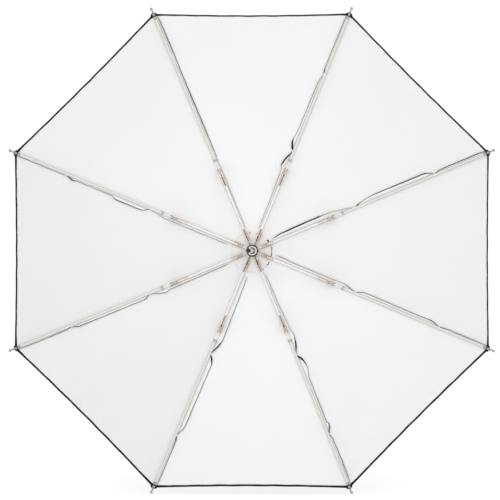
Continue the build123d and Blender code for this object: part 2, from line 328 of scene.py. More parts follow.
def tube_mesh(points, radius, sides):
    """Verts and faces of a capped tube along points."""
    points = np.asarray(points, float)
    count = len(points)
    tangents = np.gradient(points, axis=0)
    tangents /= np.linalg.norm(tangents, axis=1)[:, None]
    along_z = abs(tangents[0][2]) >= 0.9
    ref = np.array([1.0, 0.0, 0.0]) if along_z else np.array([0.0, 0.0, 1.0])
    normal = ref - tangents[0] * (ref @ tangents[0])
    normal /= np.linalg.norm(normal)
    verts = []
    for point, tangent in zip(points, tangents):
        normal = normal - tangent * (normal @ tangent)
        normal /= np.linalg.norm(normal)
        side = np.cross(tangent, normal)
        for j in range(sides):
            turn = 2 * math.pi * j / sides
            verts.append(point + radius * (math.cos(turn) * normal + math.sin(turn) * side))
    faces = ring_faces(count, sides)
    faces.append(tuple(range(sides - 1, -1, -1)))
    faces.append(tuple((count - 1) * sides + j for j in range(sides)))
    return verts, faces


def join_parts(parts):
    verts, faces = [], []
    for part_verts, part_faces in parts:
        first = len(verts)
        verts.extend(part_verts)
        faces.extend([tuple(i + first for i in face) for face in part_faces])
    return verts, faces


def shell_faces(rows, cols, closed=True, last_order=(3, 2, 1, 0)):
    """Faces of a thin shell: two layers of rows x cols points and the walls between them.

    last_order is the order of the corners in the walls along the last column.
    """
    layer = rows * cols
    faces = []
    for row in range(rows if closed else rows - 1):
        here, there = row * cols, (row + 1) % rows * cols
        for col in range(cols - 1):
            p0, p1, p2, p3 = here + col, here + col + 1, there + col + 1, there + col
            faces.append((p0, p1, p2, p3))
            faces.append((layer + p0, layer + p3, layer + p2, layer + p1))
        for col in (0, cols - 1):
            p0, p3 = here + col, there + col
            wall = (p0, p3, layer + p3, layer + p0)
            faces.append(wall if col == 0 else tuple(wall[k] for k in last_order))
    if not closed:
        for row in (0, rows - 1):
            for col in range(cols - 1):
                p0 = row * cols + col
                wall = (p0, layer + p0, layer + p0 + 1, p0 + 1)
                faces.append(wall if row == 0 else wall[::-1])
    return faces


def flat_uv(verts):
    return [(p[0] + p[2], p[1]) for p in verts]


def smoothstep(x):
    x = np.clip(x, 0, 1)
    return x * x * (3 - 2 * x)


# ------------------------------------------------------------------ shader helpers
class Nodes:
    """Short ways to add nodes to one tree. A value may be a number, a colour or a socket."""

    def __init__(self, tree):
        self.tree = tree
        tree.nodes.clear()

    def feed(self, socket, value):
        if isinstance(value, bpy.types.NodeSocket):
            self.tree.links.new(value, socket)
            return
        if isinstance(value, tuple) and socket.type == "RGBA":
            value = (*value, 1.0)
        socket.default_value = value

    def feed_named(self, node, inputs):
        for name, value in inputs.items():
            self.feed(node.inputs[name.replace("_", " ")], value)

    def add(self, kind, **inputs):
        node = self.tree.nodes.new("ShaderNode" + kind)
        self.feed_named(node, inputs)
        return node

    def math(self, operation, *values):
        node = self.add("Math")
        node.operation = operation
        for socket, value in zip(node.inputs, values):
            self.feed(socket, value)
        return node.outputs[0]

    def weighted(self, first, first_weight, second, second_weight):
        return self.math("ADD", self.math("MULTIPLY", first, first_weight),
                         self.math("MULTIPLY", second, second_weight))

    def ramp(self, source, *stops):
        """Colour ramp through (position, colour or grey) stops."""
        stops = [(place, (*(colour if isinstance(colour, tuple) else (colour,) * 3), 1))
                 for place, colour in stops]
        node = self.add("ValToRGB")
        elements = node.color_ramp.elements
        elements[0].position, elements[0].color = stops[0]
        elements[1].position, elements[1].color = stops[-1]
        for place, colour in stops[1:-1]:
            elements.new(place).color = colour
        self.feed(node.inputs[0], source)
        return node.outputs[0]

    def mix(self, factor, first, second, blend="MIX"):
        node = self.add("Mix")
        node.data_type = "RGBA"
        node.blend_type = blend
        for index, value in ((0, factor), (6, first), (7, second)):
            self.feed(node.inputs[index], value)
        return node.outputs[2]

    def mix_shader(self, factor, first, second):
        node = self.add("MixShader")
        for socket, value in zip(node.inputs, (factor, first, second)):
            self.feed(socket, value)
        return node.outputs[0]

    def noise(self, vector, scale, detail, roughness=0.5):
        node = self.add("TexNoise", Scale=scale, Detail=detail, Roughness=roughness, Vector=vector)
        return node.outputs[0]

    def coords(self, kind="Object"):
        return self.add("TexCoord").outputs[kind]

    def split(self, vector):
        return self.add("SeparateXYZ", Vector=vector).outputs

    def bump(self, height, strength, distance):
        return self.add("Bump", Height=height, Strength=strength, Distance=distance).outputs[0]


class Look(Nodes):
    """A material with one Principled surface."""

    def __init__(self, name):
        self.material = bpy.data.materials.new(name)
        self.material.use_nodes = True
        super().__init__(self.material.node_tree)
        self.bsdf = self.add("BsdfPrincipled")
        self.add("OutputMaterial", Surface=self.bsdf.outputs[0])

    def set(self, **inputs):
        self.feed_named(self.bsdf, inputs)

    def tint(self, factor, colour):
        """Mix another colour over the base colour that is there."""
        base = self.bsdf.inputs["Base Color"].links[0].from_socket
        self.set(Base_Color=self.mix(factor, base, colour))

    def from_shaft(self, place):
        """Distance from the shaft's axis, in metres."""
        squares = [self.math("MULTIPLY", place[axis], place[axis]) for axis in (0, 2)]
        return self.math("SQRT", self.math("ADD", *squares))

    def across_arm(self, place, radius):
        """Distance across from the middle of the nearest arm, in metres."""
        angle = self.math("ARCTAN2", place[2], place[0])
        folded = self.math("PINGPONG", angle, math.pi / 8)
        return self.math("MULTIPLY", self.math("SUBTRACT", math.pi / 8, folded), radius)

    def upright(self, place):
        """1 on the arms nearer to Z than to X, 0 on the others."""
        lean = self.math("SUBTRACT", self.math("ABSOLUTE", place[2]),
                         self.math("ABSOLUTE", place[0]))
        return self.math("GREATER_THAN", lean, 0.0)


# ------------------------------------------------------------------ kinds of material
def cloth(name, light, dark, rough, sheen, weave_mm, bump, specular, patch, painted_light=False):
    """Woven cloth: two thread directions, slow colour variation and fine fibre noise."""
    look = Look(name)
    uv_map = look.add("UVMap")
    uv_map.uv_map = "cloth"
    uv = uv_map.outputs[0]
    rate = 2 * math.pi / weave_mm * 1000
    threads = [look.math("SINE", look.math("MULTIPLY", axis, rate)) for axis in look.split(uv)[:2]]
    weave = look.math("MULTIPLY", *threads)
    patches = look.noise(uv, scale=patch * 40, detail=4.0, roughness=0.6)
    fibre = look.noise(uv, scale=2600.0, detail=2.0, roughness=0.7)
    shade = look.math("ADD", look.math("MULTIPLY", weave, 0.18),
                      look.weighted(patches, 0.75, fibre, 0.22))
    colour = look.ramp(shade, (0.15, dark), (0.8, light))
    # painted light and shade by gore, read from a point attribute and multiplied into the colour
    if painted_light:
        painted_light_node = look.add("Attribute")
        painted_light_node.attribute_name = "painted_light"
        colour = look.mix(1.0, colour, painted_light_node.outputs["Color"], blend="MULTIPLY")
    height = look.weighted(weave, 0.5, fibre, 0.5)
    look.set(
        Base_Color=colour,
        Roughness=look.math("ADD", look.math("MULTIPLY", patches, 0.12), rough - 0.06),
        Sheen_Weight=sheen,
        Sheen_Roughness=0.45,
        Specular_IOR_Level=specular,
        Normal=look.bump(height, strength=bump, distance=0.00015))
    return look


def metal(name, light, dark, rough, scale):
    """Plated metal: fine polish marks and thin tarnish in patches."""
    look = Look(name)
    place = look.coords()
    big = look.noise(place, scale=scale * 0.25, detail=5.0, roughness=0.6)
    fine = look.noise(place, scale=scale * 3.0, detail=3.0, roughness=0.7)
    look.set(
        Base_Color=look.ramp(look.weighted(big, 0.5, fine, 0.5), (0.3, dark), (0.62, light)),
        Roughness=look.ramp(big, (0.3, rough * 0.75), (0.75, rough * 1.5)),
        Metallic=1.0,
        Normal=look.bump(fine, strength=0.08, distance=0.0001))
    return look


def plastic(name, light, dark, rough, bump, scale, subsurface=0.0):
    """Plastic or thread: a dull, finely uneven surface."""
    look = Look(name)
    place = look.coords()
    big = look.noise(place, scale=60.0, detail=4.0, roughness=0.6)
    fine = look.noise(place, scale=scale, detail=4.0, roughness=0.7)
    look.set(
        Base_Color=look.ramp(look.weighted(big, 0.6, fine, 0.4), (0.3, dark), (0.7, light)),
        Roughness=look.ramp(fine, (0.3, rough * 0.85), (0.7, rough * 1.15)),
        Subsurface_Weight=subsurface,
        Subsurface_Radius=(0.002, 0.002, 0.0018),
        Normal=look.bump(fine, strength=bump, distance=0.0001))
    return look


def fibreglass(name, half_mm, dark, mid, light, edge, edge_from):
    """Pale resin rod with long glass strands, and painted shade as a thin darker line down each
    side.

    edge_from is where that painted shade starts, as a share of half_mm.
    """
    look = Look(name)
    place = look.split(look.coords())
    radius = look.from_shaft(place)
    across = look.across_arm(place, radius)
    stretched = look.add("CombineXYZ", X=look.math("MULTIPLY", across, 2400.0),
                         Y=look.math("MULTIPLY", radius, 26.0))
    strands = look.noise(stretched.outputs[0], scale=1.0, detail=4.0, roughness=0.65)
    # painted shade: a mask for the darker line along both sides of the rod
    side = look.ramp(look.math("DIVIDE", across, half_mm * 0.001),
                     (edge_from, 0), (edge_from + 0.2, 1), (1.0, 1))
    look.set(
        Base_Color=look.ramp(strands, (0.28, dark), (0.5, mid), (0.74, light)),
        Roughness=look.ramp(strands, (0.3, 0.2), (0.7, 0.34)),
        Subsurface_Weight=0.15,
        Subsurface_Radius=(0.0015, 0.0015, 0.0013),
        Coat_Weight=0.3,
        Coat_Roughness=0.12,
        Normal=look.bump(strands, strength=0.2, distance=0.00008))
    look.tint(look.math("MULTIPLY", side, 0.85), edge)
    return look


def shade_crevices(look, dark, reach_mm, full, none, level_share=None):
    """Painted shade where little open air is in front of a plated part, from an occlusion test.

    It is full at one openness and gone at the other; level_share is how much of it the arms
    that stand less upright get: painted shade for light that falls more from above and below.
    """
    occlusion = look.add("AmbientOcclusion", Distance=reach_mm * 0.001)
    occlusion.samples = 8
    factor = look.math("MULTIPLY", look.ramp(occlusion.outputs["AO"], (full, 1), (none, 0)), 1.0)
    if level_share is not None:
        upright = look.upright(look.split(look.coords()))
        share = look.math("ADD", look.math("MULTIPLY", upright, 1.0 - level_share), level_share)
        factor = look.math("MULTIPLY", factor, share)
    # the painted shade goes into the colour and makes the plate less metallic there
    look.tint(factor, dark)
    look.set(Metallic=look.math("SUBTRACT", 1.0, look.math("MULTIPLY", factor, 0.7)))


def ring_bands(look, bands, dark):
    """Darker rings about the shaft at set radii, each (inner radius, outer radius) in mm."""
    radius = look.math("MULTIPLY", look.from_shaft(look.split(look.coords())), 1000.0)
    factor = None
    for inner, outer in bands:
        near = look.math("ABSOLUTE", look.math("SUBTRACT", radius, (inner + outer) / 2))
        band = look.ramp(look.math("DIVIDE", near, outer - inner), (0.44, 1), (0.56, 0))
        factor = band if factor is None else look.math("MAXIMUM", factor, band)
    look.tint(factor, dark)


def link_channel_shade_and_rivet(look):
    """Painted shade down the middle of the upright channels and along the edges of the level ones,
    where the light leaves them dark, and a browner fork round the far rivet."""
    coords = look.coords()
    place = look.split(coords)
    radius = look.from_shaft(place)
    across = look.math("MULTIPLY", look.across_arm(place, radius), 1000.0)
    wobble = look.noise(coords, scale=700.0, detail=2.0)
    wander = look.math("MULTIPLY", look.math("SUBTRACT", wobble, 0.5), 0.9)
    across = look.math("ADD", across, wander)
    upright = look.upright(place)
    middle = look.ramp(across, (0.75, 1), (1.0, 0))
    edges = look.ramp(look.math("MULTIPLY", across, 0.25), (0.46, 0), (0.58, 1))
    # painted shade: the dark middle on the upright arms and the dark edges on the level ones
    channel_shade = look.math("ADD", look.math("MULTIPLY", middle, upright),
                    look.math("MULTIPLY", edges, look.math("SUBTRACT", 1.0, upright)))
    look.tint(look.math("MULTIPLY", channel_shade, 0.9), (0.13, 0.075, 0.05))
    far = look.ramp(look.math("MULTIPLY", radius, 5.0), (0.845, 0), (0.86, 1))
    far = look.math("MULTIPLY", far, look.math("MULTIPLY_ADD", wobble, 0.5, 0.45))
    look.tint(far, (0.22, 0.13, 0.085))


def far_from_shaft(look, radius_mm, colour):
    """Another colour for what stands farther out than radius_mm."""
    radius = look.from_shaft(look.split(look.coords()))
    look.tint(look.math("GREATER_THAN", radius, radius_mm * 0.001), colour)


# ------------------------------------------------------------------ materials
# the lining carries painted light and shade by gore
LINING = cloth("lining_cloth", light=(0.955, 0.955, 0.955), dark=(0.92, 0.92, 0.923), rough=0.55,
               sheen=0.15, weave_mm=0.55, bump=0.12, specular=0.25, patch=0.15, painted_light=True)
SEAM_WHITE = cloth("seam_white_cloth", light=(0.94, 0.94, 0.93), dark=(0.86, 0.86, 0.85),
                   rough=0.6, sheen=0.1, weave_mm=0.55, bump=0.15, specular=0.2, patch=0.8)
COVER = cloth("cover_cloth", light=(0.018, 0.018, 0.0195), dark=(0.009, 0.009, 0.010), rough=0.5,
              sheen=0.16, weave_mm=0.5, bump=0.25, specular=0.35, patch=0.3)
SEAM_BLACK = cloth("seam_black_cloth", light=(0.012, 0.012, 0.013), dark=(0.005, 0.005, 0.006),
                   rough=0.75, sheen=0.03, weave_mm=0.5, bump=0.3, specular=0.12, patch=2.0)
HEM = cloth("hem_cloth", light=(0.020, 0.020, 0.022), dark=(0.006, 0.006, 0.007), rough=0.75,
            sheen=0.06, weave_mm=1.1, bump=0.5, specular=0.15, patch=2.0)
ROSETTE = cloth("rosette_cloth", light=(0.985, 0.985, 0.98), dark=(0.94, 0.94, 0.935), rough=0.65,
                sheen=0.1, weave_mm=0.6, bump=0.2, specular=0.2, patch=1.0)
THREAD_WHITE = plastic("white_thread", light=(0.93, 0.93, 0.91), dark=(0.80, 0.80, 0.78),
                       rough=0.8, bump=0.5, scale=4000.0)
THREAD_BLACK = plastic("black_thread", light=(0.03, 0.03, 0.032), dark=(0.010, 0.010, 0.011),
                       rough=0.75, bump=0.5, scale=4000.0)
# edge is the colour of the painted shade down the sides of each rod
RIB_GLASS = fibreglass("fibreglass", half_mm=RIB_R, dark=(0.73, 0.715, 0.67),
                       mid=(0.81, 0.80, 0.76), light=(0.885, 0.875, 0.85),
                       edge=(0.60, 0.56, 0.51), edge_from=0.76)
STRETCHER_GLASS = fibreglass("fibreglass_white", half_mm=STRETCHER_R, dark=(0.89, 0.885, 0.865),
                             mid=(0.93, 0.925, 0.91), light=(0.96, 0.955, 0.945),
                             edge=(0.68, 0.65, 0.61), edge_from=0.80)

BRONZE = metal("bronze_plate", light=(0.98, 0.86, 0.76), dark=(0.76, 0.58, 0.46),
               rough=0.2, scale=420.0)
# painted shade in the stretcher fittings' channels and crevices, darker on the upright arms, and a
# browner fork round the far rivet
link_channel_shade_and_rivet(BRONZE)
shade_crevices(BRONZE, dark=(0.07, 0.042, 0.03), reach_mm=3.5, full=0.34, none=0.86,
               level_share=0.5)

# the clip on the rib isn't plated like the fitting at the crown
BRONZE_DARK = metal("bronze_dark", light=(0.55, 0.43, 0.35), dark=(0.26, 0.18, 0.13),
                    rough=0.3, scale=500.0)
# painted shade in the crevices of the rib clip
shade_crevices(BRONZE_DARK, dark=(0.05, 0.033, 0.025), reach_mm=3.0, full=0.3, none=0.85)
far_from_shaft(BRONZE_DARK, radius_mm=120.0, colour=(0.60, 0.57, 0.53))

RUNNER = metal("runner_plate", light=(0.97, 0.94, 0.91), dark=(0.80, 0.74, 0.69),
               rough=0.14, scale=500.0)
ring_bands(RUNNER, bands=((4.9, 7.0), (9.1, 12.4)), dark=(0.075, 0.052, 0.042))
# painted shade in the runner's crevices
shade_crevices(RUNNER, dark=(0.06, 0.04, 0.035), reach_mm=3.0, full=0.25, none=0.7)

NOTCH = metal("notch_metal", light=(0.80, 0.77, 0.74), dark=(0.52, 0.49, 0.46),
              rough=0.22, scale=500.0)
# painted shade in the notch's crevices
shade_crevices(NOTCH, dark=(0.12, 0.10, 0.09), reach_mm=3.0, full=0.25, none=0.7)

STEEL = metal("wire_steel", light=(0.76, 0.76, 0.76), dark=(0.50, 0.50, 0.50),
              rough=0.22, scale=800.0)
SHAFT = metal("shaft_nickel", light=(0.86, 0.86, 0.86), dark=(0.70, 0.70, 0.69),
              rough=0.12, scale=250.0)

TIP = metal("tip_silver", light=(0.62, 0.61, 0.585), dark=(0.36, 0.355, 0.34),
            rough=0.26, scale=700.0)
# painted shade in the tip's crevices
shade_crevices(TIP, dark=(0.10, 0.10, 0.095), reach_mm=4.0, full=0.35, none=0.9)

PLASTIC_WHITE = plastic("white_plastic", light=(0.88, 0.88, 0.86), dark=(0.80, 0.80, 0.77),
                        rough=0.38, bump=0.12, scale=700.0, subsurface=0.2)
PLASTIC_BLACK = plastic("black_plastic", light=(0.030, 0.028, 0.027), dark=(0.014, 0.013, 0.013),
                        rough=0.42, bump=0.25, scale=900.0)

# ------------------------------------------------------------------ CAD pieces that stay
SINGLE_PARTS = {"shaft": SHAFT, "tail_cap": PLASTIC_BLACK, "crown_notch": NOTCH,
                "crown_wire_and_pins": STEEL, "ferrule": PLASTIC_BLACK, "runner": RUNNER,
                "runner_wire": STEEL, "runner_catch": STEEL}
ARM_PARTS = {"rib_rod": RIB_GLASS, "rib_root": BRONZE_DARK, "rib_bracket": PLASTIC_WHITE,
             "rib_tip": TIP, "stretcher_rod": STRETCHER_GLASS, "stretcher_ends": BRONZE}


def paint_part(name, look):
    ob = NODES[name]
    if not ob.material_slots:
        ob.data.materials.append(look.material)
    for slot in ob.material_slots:
        slot.material = look.material


for part, part_look in SINGLE_PARTS.items():
    paint_part(part, part_look)
for i in range(1, N_RIBS + 1):
    for part, part_look in ARM_PARTS.items():
        paint_part(f"{part}_{i}", part_look)

# ------------------------------------------------------------------ cloth that follows the ribs
BODY_NAMES = ["root"] + [f"rib_{i}" for i in range(1, N_RIBS + 1)]
ROOT_HOLD = (11.0, 30.0)              # radius where the crown's hold starts to fade, and over what


def cloth_armature():
    """One bone for each moving body the cloth hangs on."""
    data = bpy.data.armatures.new("cloth_rig")
    rig = bpy.data.objects.new("cloth_rig", data)
    bpy.context.scene.collection.objects.link(rig)
    bpy.context.view_layer.objects.active = rig
    bpy.ops.object.mode_set(mode="EDIT")
    for name in BODY_NAMES:
        bone = data.edit_bones.new("b_" + name)
        bone.head, bone.tail, bone.roll = (0, 0, 0), (0, 1, 0), 0.0
    bpy.ops.object.mode_set(mode="OBJECT")
    for name in BODY_NAMES:
        follow = rig.pose.bones["b_" + name].constraints.new("COPY_TRANSFORMS")
        follow.target = BODIES[name]
    rig.hide_render = True
    return rig


RIG = cloth_armature()


def skin(ob):
    """Weights from where a point stands: the crown near the axis, else its two ribs.

    The ribs share in the ratio of the distances from their planes, so the closed cloth stands
    out between its own two ribs as one pleat and doesn't cross over a rib.
    """
    places = vertex_places(ob)
    radius = np.hypot(places[:, 0], places[:, 2]) / MM
    turn = (np.degrees(np.arctan2(places[:, 2], places[:, 0])) - PITCH / 2) % 360 / PITCH
    before = np.floor(turn).astype(int) % N_RIBS
    part = turn - np.floor(turn)
    to_before, to_after = np.sin(np.radians(PITCH * part)), np.sin(np.radians(PITCH * (1 - part)))
    share = to_before / (to_before + to_after)
    root = 1 - smoothstep((radius - ROOT_HOLD[0]) / ROOT_HOLD[1])
    groups = {name: ob.vertex_groups.new(name="b_" + name) for name in BODY_NAMES}
    table = {}
    for v in range(len(places)):
        entries = (("root", root[v]),
                   (f"rib_{before[v] + 1}", (1 - root[v]) * (1 - share[v])),
                   (f"rib_{(before[v] + 1) % N_RIBS + 1}", (1 - root[v]) * share[v]))
        for name, weight in entries:
            if weight > 1e-5:
                table.setdefault((name, round(float(weight), 5)), []).append(v)
    for (name, weight), members in table.items():
        groups[name].add(members, weight, "ADD")
    follow = ob.modifiers.new("follow", "ARMATURE")
    follow.object = RIG
    follow.use_vertex_groups = True


# ------------------------------------------------------------------ canopy sheets
N_ACROSS, N_ALONG = 34, 92            # steps across a gore, points from the shaft to the rim
RIM_IN = 1.2                          # the sheets end this far inside the rim, under the hem
UV_STEP = 0.61                        # metres between the gores in the cloth's own coordinates
# painted light and shade, one brightness factor per gore: lighter for the gores at the top and
# bottom, darker for those at the sides
GORE_PAINTED_LIGHT = [0.97, 0.99, 1.02, 0.99, 0.95, 0.95, 1.01, 0.99]


def sheet(name, inner, outer, look):
    """Closed thin shell over all eight gores between two offsets, with a crease at each rib."""
    even = np.linspace(-1, 1, N_ACROSS + 1)
    laterals = np.sign(even) * (1 - (1 - np.abs(even)) ** 1.35)      # closer near the ribs
    dists = DIST_IN + (DIST_RIM - RIM_IN - DIST_IN) * np.linspace(0, 1, N_ALONG)**1.12
    lateral, dist = np.meshgrid(laterals, dists, indexing="ij")
    lengths = np.hypot(np.diff(dists), np.diff(profile(dists)))
    arc = np.broadcast_to(np.concatenate([[0], np.cumsum(lengths)]), dist.shape)
    verts = [gore_points(k, lateral, dist, offset)[:-1].reshape(-1, 3)
             for offset in (inner, outer) for k in range(N_RIBS)]
    uv = [np.stack([lateral * dist * TAN_HALF * MM + k * UV_STEP, arc * MM], -1)[:-1]
          .reshape(-1, 2) for k in range(N_RIBS)]
    rows = N_RIBS * N_ACROSS
    sharp = np.zeros((2 * N_RIBS, N_ACROSS, N_ALONG), bool)
    sharp[:, 0] = True
    return make_mesh(name, np.concatenate(verts), shell_faces(rows, N_ALONG), look,
                     uv=np.concatenate(uv + uv), sharp=sharp.ravel())


def add_painted_light(ob):
    """Painted light and shade: a brightness factor for each gore, rising a little towards the
    shaft as painted light near the middle of the bowl.
    """
    places = vertex_places(ob)
    angle = np.arctan2(places[:, 2], places[:, 0])
    gore = np.round(np.degrees(angle) / PITCH).astype(int)
    dist = np.hypot(places[:, 0], places[:, 2]) * np.cos(angle - np.radians(PITCH * gore))
    reach = np.clip(dist / (CANOPY_R * MM * COS_HALF), 0, 1)
    painted_light = np.array(GORE_PAINTED_LIGHT)[gore % N_RIBS] * (1 + 0.045 * np.clip(1 - reach / 0.3, 0, 1))
    colours = np.stack([painted_light, painted_light, painted_light, np.ones(len(painted_light))], -1)
    attribute = ob.data.attributes.new("painted_light", "FLOAT_COLOR", "POINT")
    attribute.data.foreach_set("color", colours.astype("float32").ravel())


# ------------------------------------------------------------------ hem
HEM_W = [1.5, 2.0, 1.7, 2.1, 1.9, 2.4, 2.5, 2.4]      # width on the inner face, by gore
HEM_STEPS = 64                                        # along each gore
STITCH_PITCH = 3.4
STITCH_HALF = 1.05
STITCH_CLEAR = 8                                      # no stitches this near a corner
# (share of STITCH_HALF along, offset) of the points of one stitch
STITCH_LINE = ((-1, -0.46), (-0.6, -0.62), (0.6, -0.62), (1, -0.46))


def hem_ring():
    """Black cloth turned over the rim."""
    laterals = np.linspace(-1, 1, HEM_STEPS + 1)[:-1]
    from_corner = (1 - np.abs(laterals)) * RIM_HALF
    rows, uv = [], []
    for k in range(N_RIBS):
        neighbour = np.where(laterals < 0, HEM_W[(k - 1) % N_RIBS], HEM_W[(k + 1) % N_RIBS])
        width = HEM_W[k] + (neighbour - HEM_W[k]) * 0.5 * np.exp(-from_corner / 30.0)
        width = (width + 1.5 * np.exp(-from_corner / 14.0) + 0.16 * np.sin(laterals * 31 + k)
                 + 0.08 * np.sin(laterals * 83 + 2 * k))
        roll = 0.45 + 0.35 * np.exp(-from_corner / 12.0)
        # (past the rim, offset) of the closed section: the inner face out to the rim, round
        # it, back along the outer face, and the underside home
        section = [
            (-width, -0.16), (-width + 0.35, -0.38), (-width * 0.5, -0.44), (-0.6, -0.48),
            (0.1, -0.35), (0.4 + roll * 0.4, 0.25), (0.3, 0.95),
            (-0.8, 1.18), (-3.4, 1.12), (-6.6, 1.05), (-7.2, 0.86),
            (-3.0, 0.80), (-0.9, 0.40), (-1.1, -0.08)]
        count = len(section)
        grid = [gore_points(k, laterals, DIST_RIM + past, offset) for past, offset in section]
        rows.append(np.stack(grid, axis=1).reshape(-1, 3))
        along = np.repeat((laterals * RIM_HALF * MM + k * UV_STEP)[:, None], count, 1)
        around = np.repeat((np.arange(count) * 0.002)[None, :], HEM_STEPS, 0)
        uv.append(np.stack([along, around], -1).reshape(-1, 2))
    here = np.arange(N_RIBS * HEM_STEPS)
    there = (here + 1) % len(here)
    faces = []
    for q in range(count):
        q2 = (q + 1) % count
        faces.append(np.stack([here * count + q, here * count + q2,
                               there * count + q2, there * count + q], 1))
    return make_mesh("hem", np.concatenate(rows), np.concatenate(faces), HEM,
                     uv=np.concatenate(uv))


def hem_stitches():
    """A row of short threads along the hem's inner face."""
    parts = []
    count = int(2 * RIM_HALF / STITCH_PITCH)
    half = STITCH_HALF / RIM_HALF
    for k in range(N_RIBS):
        dist = DIST_RIM - (HEM_W[k] - 0.7)
        for q in range(count):
            centre = -1 + 2 * (q + 0.5) / count
            if (1 - abs(centre)) * RIM_HALF < STITCH_CLEAR:
                continue
            points = [gore_points(k, centre + share * half, dist, offset)
                      for share, offset in STITCH_LINE]
            parts.append(tube_mesh(points, 0.16 * MM, sides=5))
    verts, faces = join_parts(parts)
    return make_mesh("hem_stitches", verts, faces, THREAD_BLACK)


def outer_seams():
    """A low rounded fold on each side of every rib, on the cover's outer face."""
    arcs = np.linspace(26, RIM_ARC - 4, 120)
    parts = []
    for i in range(1, N_RIBS + 1):
        for side in (-1, 1):
            points = beside_rib(i, arcs, side * 1.3 + 0 * arcs, 0.80)
            parts.append(tube_mesh(points, 0.42 * MM, sides=8))
    verts, faces = join_parts(parts)
    return make_mesh("outer_seams", verts, faces, COVER, uv=flat_uv(verts))


# ------------------------------------------------------------------ rosette
ROSETTE_R = 41.0
ROSETTE_HOLE_R = 4.7
ROSETTE_SHIFT = 4.6                   # how far it sits off the axis
ROSETTE_SHIFT_ANGLE = math.radians(236)
N_TEETH, TOOTH_STEPS, ROSETTE_RINGS = 44, 8, 18
# (height, centre in degrees, width in degrees) where the dark backing shows past the edge
LIP_BUMPS = ((2.3, 8, 7), (2.3, -10, 8), (3.8, 33, 4.5), (2.4, -41, 6), (1.4, -62, 5),
             (1.5, 100, 4), (1.2, 75, 4), (0.7, 160, 6), (0.6, 190, 8), (0.7, 250, 5))


def dark_lip(angle):
    """How far the dark backing reaches past the white edge, by angle."""
    def bump_at(centre, width):
        apart = (np.degrees(angle) - centre + 180) % 360 - 180
        return np.exp(-(apart / width) ** 2)
    return sum((height * bump_at(centre, width) for height, centre, width in LIP_BUMPS), -0.5)


def rosette_piece(name, shift, thick, look, dark):
    """Pinked round of cloth on the lining's inner face, a little off centre."""
    steps = np.arange(N_TEETH * TOOTH_STEPS)
    angle = 2 * math.pi * steps / len(steps)
    tooth = np.abs((steps / TOOTH_STEPS) % 1.0 - 0.5) * 2
    edge = (ROSETTE_R + ROSETTE_SHIFT * np.cos(angle - ROSETTE_SHIFT_ANGLE) + 1.7 * (tooth - 0.5)
            + 0.5 * np.sin(5 * angle + 1) + 0.4 * np.sin(9 * angle))
    if dark:
        edge = edge + dark_lip(angle)
    t = np.linspace(0, 1, ROSETTE_RINGS)
    radius = ROSETTE_HOLE_R + (edge[:, None] - ROSETTE_HOLE_R) * t[None, :]
    gore = np.round(np.degrees(angle) / PITCH).astype(int) % N_RIBS
    apart = (angle - np.radians(PITCH * gore) + math.pi) % (2 * math.pi) - math.pi
    dist = radius * np.cos(apart)[:, None]
    lateral = np.clip(radius * np.sin(apart)[:, None] / (dist * TAN_HALF), -1, 1)
    # the outer quarter curls up from the lining in places
    curl = ((0.8 * np.sin(7 * angle + 0.5) + 0.7 * np.sin(11 * angle + 2) + 0.5)[:, None]
            * np.clip((t - 0.76) / 0.24, 0, None)[None, :] ** 2)
    lift = -0.30 - 0.12 * np.sin(3 * angle)[:, None] * t[None, :] - np.maximum(0.0, curl) * 0.9
    layers = []
    for depth in (0.0, thick):
        offset = lift + shift + depth
        points = np.zeros((len(steps), ROSETTE_RINGS, 3))
        for k in range(N_RIBS):
            mine = gore == k
            points[mine] = gore_points(k, lateral[mine], dist[mine], offset[mine])
        layers.append(points.reshape(-1, 3))
    uv = np.stack([radius * np.cos(angle)[:, None], radius * np.sin(angle)[:, None]], -1)
    uv = uv.reshape(-1, 2) * MM
    faces = shell_faces(len(steps), ROSETTE_RINGS, last_order=(0, 3, 2, 1))
    return make_mesh(name, np.concatenate(layers), faces, look, uv=np.concatenate([uv, uv]))


lining = sheet("lining", 0.0, 0.28, LINING)
# painted light and shade by gore on the lining
add_painted_light(lining)
SKINNED = (
    (lining, "canopy_lining", "white_lining"),
    (sheet("cover", 0.46, 0.82, COVER), "canopy_cover", "black_cover"),
    (hem_ring(), "canopy_cover", "black_cover"),
    (hem_stitches(), "canopy_cover", "black_cover"),
    (outer_seams(), "canopy_cover", "black_cover"),
    (rosette_piece("rosette_white", shift=-0.16, thick=0.14, look=ROSETTE, dark=False),
     "rosette", "white_cloth"),
    (rosette_piece("rosette_backing", shift=0.02, thick=0.12, look=SEAM_BLACK, dark=True),
     "rosette", "black_cover"),
)
for ob, cad, slot_name in SKINNED:
    skin(ob)
    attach(ob, "root")
    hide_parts(cad)

# ------------------------------------------------------------------ seam allowances and ties
# arc lengths of the two thread ties on each rib
TIE_ARCS = {1: (219.2, 413.3), 2: (214.1, 395.6), 3: (222.0, 415.1), 4: (218.6, 419.0),
            5: (223.0, 408.8), 6: (223.5, 416.3), 7: (225.4, 415.6), 8: (221.6, 421.3)}
# the side of its rib each allowance lies on, plus anticlockwise
SIDE = {i: (-1 if i == 3 else 1) for i in range(1, N_RIBS + 1)}
